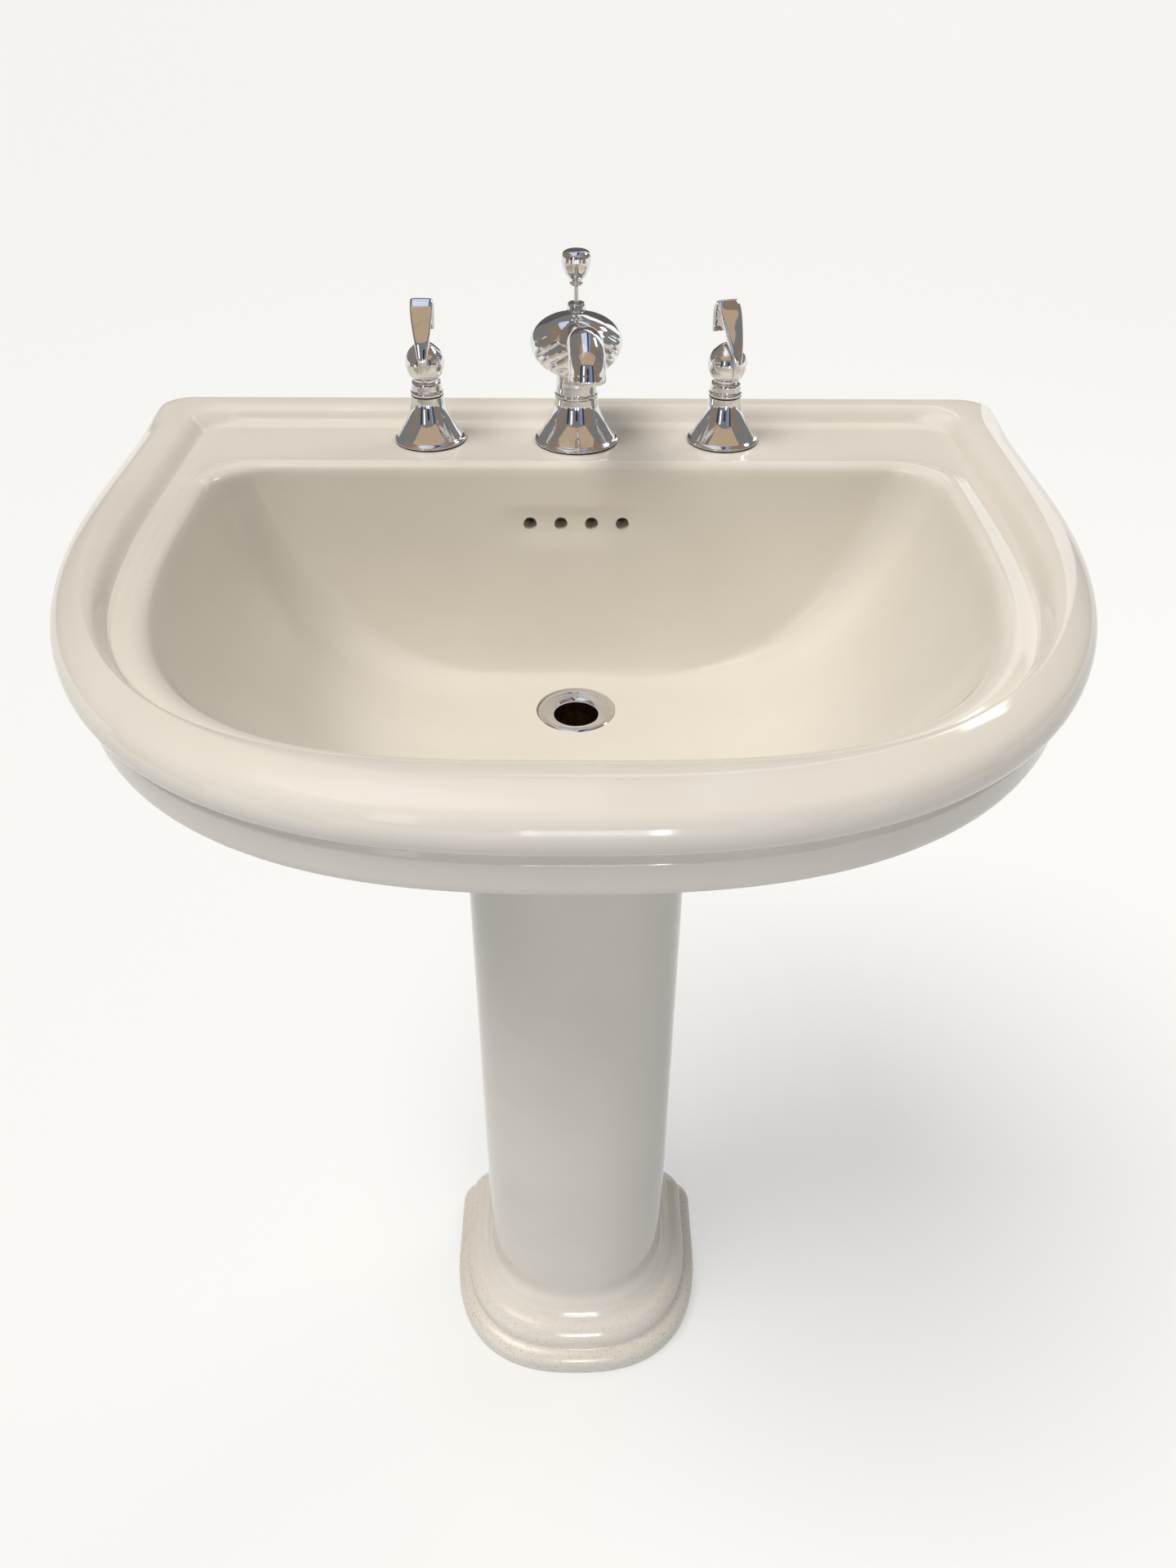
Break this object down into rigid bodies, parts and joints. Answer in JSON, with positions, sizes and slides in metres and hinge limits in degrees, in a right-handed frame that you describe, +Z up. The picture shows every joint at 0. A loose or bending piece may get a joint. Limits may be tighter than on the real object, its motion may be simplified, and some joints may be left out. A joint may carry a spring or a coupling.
{
  "type": "pedestal sink",
  "caption": "Pedestal wash basin in glazed china with a widespread lever faucet, an overflow and a pop-up drain train on a hollow column.",
  "frame": {"origin": "on the floor, under the middle of the basin's width and depth", "axes": "+X to the right of a person standing at the basin, +Y towards the wall behind it, +Z up"},
  "size_m": [0.61, 0.485, 0.985],
  "materials": {
    "china": "gloss",
    "chrome": "polished",
    "brass": "machined",
    "rubber": "matt",
    "steel": "plated",
    "plastic": "moulded",
    "copper": "drawn copper tube"
  },
  "bodies": {
    "sink": {"basin_rim": "china", "basin_apron": "china", "basin_bowl": "china", "pedestal": "china", "bell_hot": "chrome", "bell_cold": "chrome", "bell_spout": "chrome", "bell_gaskets": "rubber", "cartridge_hot": "plastic", "cartridge_cold": "plastic", "bonnet_nuts": "brass", "valve_hot": "brass", "valve_cold": "brass", "spout_body": "chrome", "aerator_housing": "chrome", "aerator_screen": "steel", "spout_shank": "brass", "deck_washers": "rubber", "thrust_washers": "steel", "mount_nuts": "brass", "spout_washer": "steel", "spout_nut": "brass", "tee": "brass", "tube_hot": "copper", "tube_cold": "copper", "tube_nuts": "brass", "pivot_nut": "brass", "pivot_seat": "plastic", "drain_flange": "chrome", "drain_body": "brass", "drain_gasket": "rubber", "friction_washer": "plastic", "drain_locknut": "brass", "tailpiece": "chrome"},
    "hot_lever": {"handle_hot": "chrome", "set_screw_hot": "steel", "stem_hot": "brass"},
    "cold_lever": {"handle_cold": "chrome", "set_screw_cold": "steel", "stem_cold": "brass"},
    "lift_train": {"lift_rod": "chrome", "lift_knob": "chrome", "clevis": "steel", "clevis_screw": "steel"},
    "pivot_arm": {"pivot_rod": "chrome", "spring_clip": "steel"}
  },
  "joints": [
    {"name": "hot_turn", "type": "hinge", "parent": "sink", "child": "hot_lever", "pos_m": [-0.1016, 0.1825, 0.863], "axis": [0, 0, 1], "range_deg": [0, 90]},
    {"name": "cold_turn", "type": "hinge", "parent": "sink", "child": "cold_lever", "pos_m": [0.1016, 0.1825, 0.863], "axis": [0, 0, -1], "range_deg": [0, 90]},
    {"name": "lift_slide", "type": "slide", "parent": "sink", "child": "lift_train", "axis": [0, 0, 1], "range_m": [-0.008, 0.009]},
    {"name": "pivot_turn", "type": "hinge", "parent": "sink", "child": "pivot_arm", "pos_m": [0, 0.0895, 0.642], "axis": [1, 0, 0], "range_deg": [-4.4, 4.9]}
  ],
  "couplings": [
    {"joint": "pivot_turn", "follows": "lift_slide", "rad_per_m": 9.2764}
  ]
}
